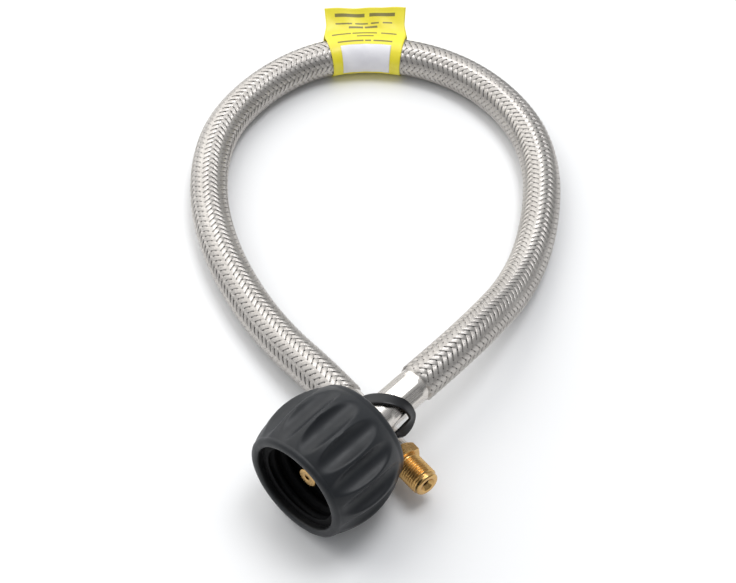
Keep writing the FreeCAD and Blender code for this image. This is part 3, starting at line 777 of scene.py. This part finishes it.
def build_tie(finish):
    """A nylon strap drawn round both ferrules, and its ratchet head."""
    steps = 200
    middle, _ = even_points(closed_curve(TIE_ROUTE), steps + 1)
    middle = middle[:-1]
    for line in (INLET, OUTLET):
        middle = clear_of(middle * MM, line, STRAP_ROUTE_RADIUS * MM) / MM
    for _ in range(2):
        middle = (np.roll(middle, 1, 0) + 2 * middle + np.roll(middle, -1, 0)) / 4
    heading = np.roll(middle, -1, 0) - np.roll(middle, 1, 0)
    heading /= np.linalg.norm(heading, axis=1, keepdims=True)
    top = np.array([0, 13.5, 26.0])
    foot = np.array([-1.5, 12.0, 11.75])
    reach = np.clip((middle - foot) @ (top - foot) / ((top - foot) @ (top - foot)), 0, 1)
    outward = middle - foot - reach[:, None] * (top - foot)
    outward -= heading * np.sum(outward * heading, axis=1, keepdims=True)
    outward /= np.linalg.norm(outward, axis=1, keepdims=True)
    # one run of the strap twists to face minus Y, as the mouth of the nut does
    run = np.abs((np.arange(steps) / steps - 0.12 + 0.5) % 1 - 0.5)
    outward += (1 - smooth_step(0.06, 0.17, run))[:, None] * np.array([0.1, -0.95, 0.35])
    outward -= heading * np.sum(outward * heading, axis=1, keepdims=True)
    for _ in range(6):
        outward = np.roll(outward, 1, 0) + 2 * outward + np.roll(outward, -1, 0)
        outward /= np.linalg.norm(outward, axis=1, keepdims=True)
    beside = np.cross(heading, outward)
    bm = straight_tube(16, steps, capped=False)
    mesh = mesh_from(bm, "tie_strap")
    flat = read_points(mesh)
    level = np.rint(flat[:, 2]).astype(int) % steps
    angle = np.arctan2(flat[:, 1], flat[:, 0])
    thick = np.sign(np.cos(angle)) * np.abs(np.cos(angle)) ** 0.45
    width = np.sign(np.sin(angle)) * np.abs(np.sin(angle)) ** 0.45
    rails = 0.12 * np.cos(width * math.pi) * (thick > 0)
    proud = thick * STRAP_HALF_THICKNESS - rails
    sideways = width * STRAP_HALF_WIDTH
    place = (middle[level] + outward[level] * proud[:, None] + beside[level] * sideways[:, None]) * MM
    for line in (INLET, OUTLET):
        place = clear_of(place, line, STRAP_INNER_RADIUS * MM)
    outer = proud > 0.2
    for line in (INLET, OUTLET):
        place[outer] = clear_of(place[outer], line, STRAP_OUTER_RADIUS * MM)
    write_points(mesh, place)
    bm = bmesh.new()
    bm.from_mesh(mesh)
    bmesh.ops.remove_doubles(bm, verts=bm.verts, dist=1e-6)
    bm.to_mesh(mesh)
    bm.free()
    face_outwards(mesh)
    strap = as_piece(mesh, "tie_strap", finish, "hose_assembly", ["cable_tie"], 50.0)

    turn = math.radians(36.0)
    frame_of_loop = Matrix((
        (math.cos(turn), 0, math.sin(turn), 0),
        (math.sin(turn), 0, -math.cos(turn), TIE_STATION * MM),
        (0, 1, 0, 0),
        (0, 0, 0, 1),
    ))
    bm = bmesh.new()
    bmesh.ops.create_cube(bm, size=1.0)
    bmesh.ops.scale(bm, vec=(4.1 * MM, 6.4 * MM, 6.4 * MM), verts=bm.verts)
    ends = [face for face in bm.faces if abs(face.normal.y) > 0.9]
    bmesh.ops.inset_individual(bm, faces=ends, thickness=1.1 * MM)
    pressed = [face for face in bm.faces if abs(face.normal.y) > 0.9 and face.calc_area() < 12e-6]
    for face in pressed:
        bmesh.ops.translate(bm, vec=face.normal * -0.9 * MM, verts=face.verts)
    hard = [edge for edge in bm.edges if edge.calc_face_angle(0) > 0.8]
    bmesh.ops.bevel(
        bm, geom=hard, offset=0.45 * MM, segments=3, profile=0.5, affect="EDGES", material=-1,
        clamp_overlap=True)
    bmesh.ops.transform(
        bm, matrix=frame_of_loop @ Matrix.Translation((-11.9 * MM, 22.6 * MM, -2.0 * MM)), verts=bm.verts)
    head_mesh = mesh_from(bm, "tie_head")
    face_outwards(head_mesh)
    head = as_piece(head_mesh, "tie_head", finish, "hose_assembly", ["cable_tie"], 40.0)
    return [strap, head]


# ---------------------------------------------------------------- label
# plain bars: left and right as shares of the label's length, then middle and height along the film in mm
FLAG_BARS = [
    (0.12, 0.49, 3.4, 1.6),
    (0.55, 0.87, 3.4, 1.6),
    (0.12, 0.33, 7.3, 0.7),
    (0.37, 0.53, 7.3, 0.7),
    (0.57, 0.67, 7.3, 0.7),
    (0.72, 0.84, 7.3, 0.7),
    (0.29, 0.47, 9.1, 1.0),
    (0.49, 0.65, 9.1, 1.0),
    (0.09, 0.32, 12.5, 0.8),
    (0.34, 0.64, 12.5, 0.8),
    (0.69, 0.88, 12.5, 0.8),
    (0.39, 0.60, 14.6, 0.8),
    (0.13, 0.47, 18.0, 1.0),
    (0.49, 0.57, 18.0, 1.0),
    (0.60, 0.85, 18.0, 1.0),
    (0.26, 0.50, 20.6, 1.0),
    (0.53, 0.74, 20.6, 1.0),
]


def label_section():
    """The film's path across the hose: down the flag, round the hose and back up the flag."""
    sleeve = 8.22
    crease = np.array([7.4, 7.6])
    bearing = math.atan2(crease[1], crease[0])
    wrap = math.acos(sleeve / math.hypot(*crease))
    flag = [crease]
    for step in range(26):
        rise = math.radians(22.0 + 18.0 * step / 25)
        flag.append(flag[-1] + FLAG_LENGTH / 26 * np.array([math.cos(rise), math.sin(rise)]))
    flag = np.array(flag)
    slope = np.gradient(flag, axis=0)
    slope /= np.linalg.norm(slope, axis=1, keepdims=True)
    beside = np.stack([-slope[:, 1], slope[:, 0]], -1) * 0.11
    angles = np.linspace(bearing + wrap, bearing - wrap + TURN, 90)
    around = np.stack([np.cos(angles), np.sin(angles)], -1) * sleeve
    ease_in = np.linspace(crease, around[0], 10)[1:-1]
    ease_out = np.linspace(around[-1], crease, 10)[1:-1]
    path = np.concatenate([(flag + beside)[::-1], ease_in, around, ease_out, flag - beside])
    for _ in range(5):
        path[1:-1] = (path[:-2] + 2 * path[1:-1] + path[2:]) / 4
    return path


def build_label(line, centre, film, white):
    columns, rows = 48, 180
    section, along_film = even_points(label_section(), rows + 1)
    drop = float(along_film[-1])
    bm = bmesh.new()
    bmesh.ops.create_grid(bm, x_segments=columns, y_segments=rows, size=0.5)
    mesh = mesh_from(bm, "label_film")
    flat = read_points(mesh)
    across = flat[:, 0] + 0.5
    row = np.rint((flat[:, 1] + 0.5) * rows).astype(int)
    out, up = section[row, 0], section[row, 1]
    tip = np.minimum(along_film[row], drop - along_film[row])
    free = 1 - smooth_step(7.6, 13.1, tip)
    ripple = free * (0.35 * np.sin(across * 7.0 + 0.6) + 0.18 * np.sin(across * 17.0 + tip * 0.3))
    up = up + ripple
    offset = (across - 0.5) * LABEL_LENGTH * MM
    place, _, upward, outward = line.frames(centre + offset)
    wrapped = place + out[:, None] * MM * outward + up[:, None] * MM * upward
    middle, ahead, level_up, level_out = line.frames(np.array([centre]))
    spread = 1 + 0.04 * free * (11.6 - tip) / 11.6
    lean = middle + (offset * spread)[:, None] * ahead + out[:, None] * MM * level_out
    lean = lean + up[:, None] * MM * level_up
    write_points(mesh, wrapped + (lean - wrapped) * (free * 0.8)[:, None])
    write_uv(mesh, across, along_film[row] / drop)
    bm = bmesh.new()
    bm.from_mesh(mesh)
    bmesh.ops.reverse_faces(bm, faces=bm.faces)
    bm.to_mesh(mesh)
    bm.free()
    label = as_piece(mesh, "label_film", film(drop), "hose_assembly", ["label"], 60.0)
    wall = label.modifiers.new("film", "SOLIDIFY")
    wall.thickness = 0.14 * MM
    wall.offset = 0

    bm = bmesh.new()
    bmesh.ops.create_grid(bm, x_segments=36, y_segments=36, size=0.5)
    mesh = mesh_from(bm, "label_panel_film")
    flat = read_points(mesh)
    along = centre + flat[:, 0] * PANEL_LENGTH * MM
    bearing = np.radians(104 + (flat[:, 1] + 0.5) * 98)
    place, _, upward, outward = line.frames(along)
    puff = 8.40 + 0.05 * np.sin(flat[:, 0] * 21 + flat[:, 1] * 9)
    around = np.cos(bearing)[:, None] * outward + np.sin(bearing)[:, None] * upward
    write_points(mesh, place + around * puff[:, None] * MM)
    write_uv(mesh, flat[:, 0] + 0.5, flat[:, 1] + 0.5)
    panel = as_piece(mesh, "label_panel_film", white, "hose_assembly", ["label_panel"], 60.0)
    wall = panel.modifiers.new("film", "SOLIDIFY")
    wall.thickness = 0.12 * MM
    wall.offset = 0
    return [label, panel]


# ---------------------------------------------------------------- floor and light
def build_bench(finish):
    bm = bmesh.new()
    bmesh.ops.create_grid(bm, x_segments=8, y_segments=8, size=3.0)
    mesh = mesh_from(bm, "bench")
    mesh.materials.append(finish)
    bench = bpy.data.objects.new("bench", mesh)
    bpy.context.scene.collection.objects.link(bench)


def area_light(name, place, target, size, power, colour):
    light = bpy.data.lights.new(name, "AREA")
    light.shape = "RECTANGLE"
    light.size = size[0]
    light.size_y = size[1]
    light.energy = power
    light.color = colour
    lamp = bpy.data.objects.new(name, light)
    lamp.location = place
    lamp.rotation_mode = "QUATERNION"
    lamp.rotation_quaternion = (Vector(place) - Vector(target)).to_track_quat("Z", "Y")
    bpy.context.scene.collection.objects.link(lamp)


def build_light():
    middle = (-0.08, 0.08, 0.0)
    area_light("window", (-1.15, 0.15, 1.05), middle, (2.2, 1.9), 19.0, (1.0, 0.99, 0.97))
    area_light("ceiling", (0.1, 0.5, 1.7), middle, (0.7, 0.7), 11.0, (0.97, 0.98, 1.0))
    world = bpy.data.worlds.new("studio")
    bpy.context.scene.world = world
    world.use_nodes = True
    nodes = world.node_tree.nodes
    links = world.node_tree.links
    nodes["Background"].inputs["Color"].default_value = (0.95, 0.97, 1.0, 1)
    heading = nodes.new("ShaderNodeTexCoord")
    towards = nodes.new("ShaderNodeVectorMath")
    towards.operation = "DOT_PRODUCT"
    towards.inputs[1].default_value = (0.72, -0.15, -0.68)
    fade = nodes.new("ShaderNodeMapRange")
    fade.inputs["From Min"].default_value = -0.35
    fade.inputs["From Max"].default_value = 0.45
    fade.inputs["To Min"].default_value = 0.62
    fade.inputs["To Max"].default_value = 0.22
    links.new(heading.outputs["Generated"], towards.inputs[0])
    links.new(towards.outputs["Value"], fade.inputs["Value"])
    links.new(fade.outputs[0], nodes["Background"].inputs["Strength"])


# ---------------------------------------------------------------- assembly
def refinish(node, finish):
    """Gives a CAD node that keeps its shape a better material."""
    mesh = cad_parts[node].data
    mesh.materials.clear()
    mesh.materials.append(finish)


build_camera()
hose = HoseLine(HOSE_ROUTE)
rubber = dark_plastic("liner_black", (0.014, 0.013, 0.013), 0.45, 0.6)
core, core_path = build_core(hose, rubber)
wire = braid_wire()
strands = [build_strands(hose, hand, first, wire) for hand in (1, -1) for first in (0, 1)]
steel_inlet = plated_steel("plated_steel_inlet", (0, 1, 0))
steel_outlet = plated_steel("plated_steel_outlet", tuple(OUTLET_BACK))
brass_inlet = turned_brass("brass_inlet", (0, 1, 0))
brass_outlet = turned_brass("brass_outlet", tuple(OUTLET_BACK))
build_ferrule("inlet_crimp", "inlet_ferrule", INLET, 43.5, FERRULE_LENGTH - BRAID_OVERLAP, steel_inlet)
build_collar("inlet_collar", "inlet_hose_tail", INLET, 39.2, 4.3, 6.6, 5.0, 3.7, steel_inlet)
build_ferrule("outlet_crimp", "outlet_ferrule", OUTLET, 23.0, FERRULE_LENGTH, steel_outlet)
build_collar("outlet_collar", "outlet_hose_tail", OUTLET, 17.4, 5.6, 5.8, 4.0, 4.0, steel_outlet)
build_outlet_fitting(brass_outlet)
build_nipple(brass_inlet)
build_hand_nut(grip_rubber(), dark_plastic("insert_black", (0.0022, 0.0022, 0.0026), 0.6, 0.75, 0.15))
tie = build_tie(dark_plastic("tie_black", (0.0045, 0.0048, 0.006), 0.32, 0.44, 0.4))
panel_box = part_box("label_panel")
label_centre = hose.nearest((panel_box[0] + panel_box[1]) / 2)
label = build_label(hose, label_centre, lambda drop: label_film(FLAG_BARS, drop), panel_film())

refinish("thermal_bushing", dark_plastic("bushing_black", (0.012, 0.012, 0.013), 0.35, 0.5))
ring_steel = plated_steel("ring_steel", (0, 1, 0))
refinish("retaining_ring", ring_steel)
refinish("thrust_washer", ring_steel)
refinish("flow_poppet", brass_inlet)
refinish("flow_retainer", brass_inlet)
refinish("flow_spring", plated_steel("spring_wire", (0, 1, 0)))
refinish("poppet_seal", dark_plastic("seal_rubber", (0.010, 0.010, 0.010), 0.5, 0.65))
refinish("nipple_seal", dark_plastic("washer_rubber", (0.012, 0.012, 0.012), 0.5, 0.65))

build_bench(bench_top())
build_light()
bpy.context.scene.view_settings.view_transform = "Standard"
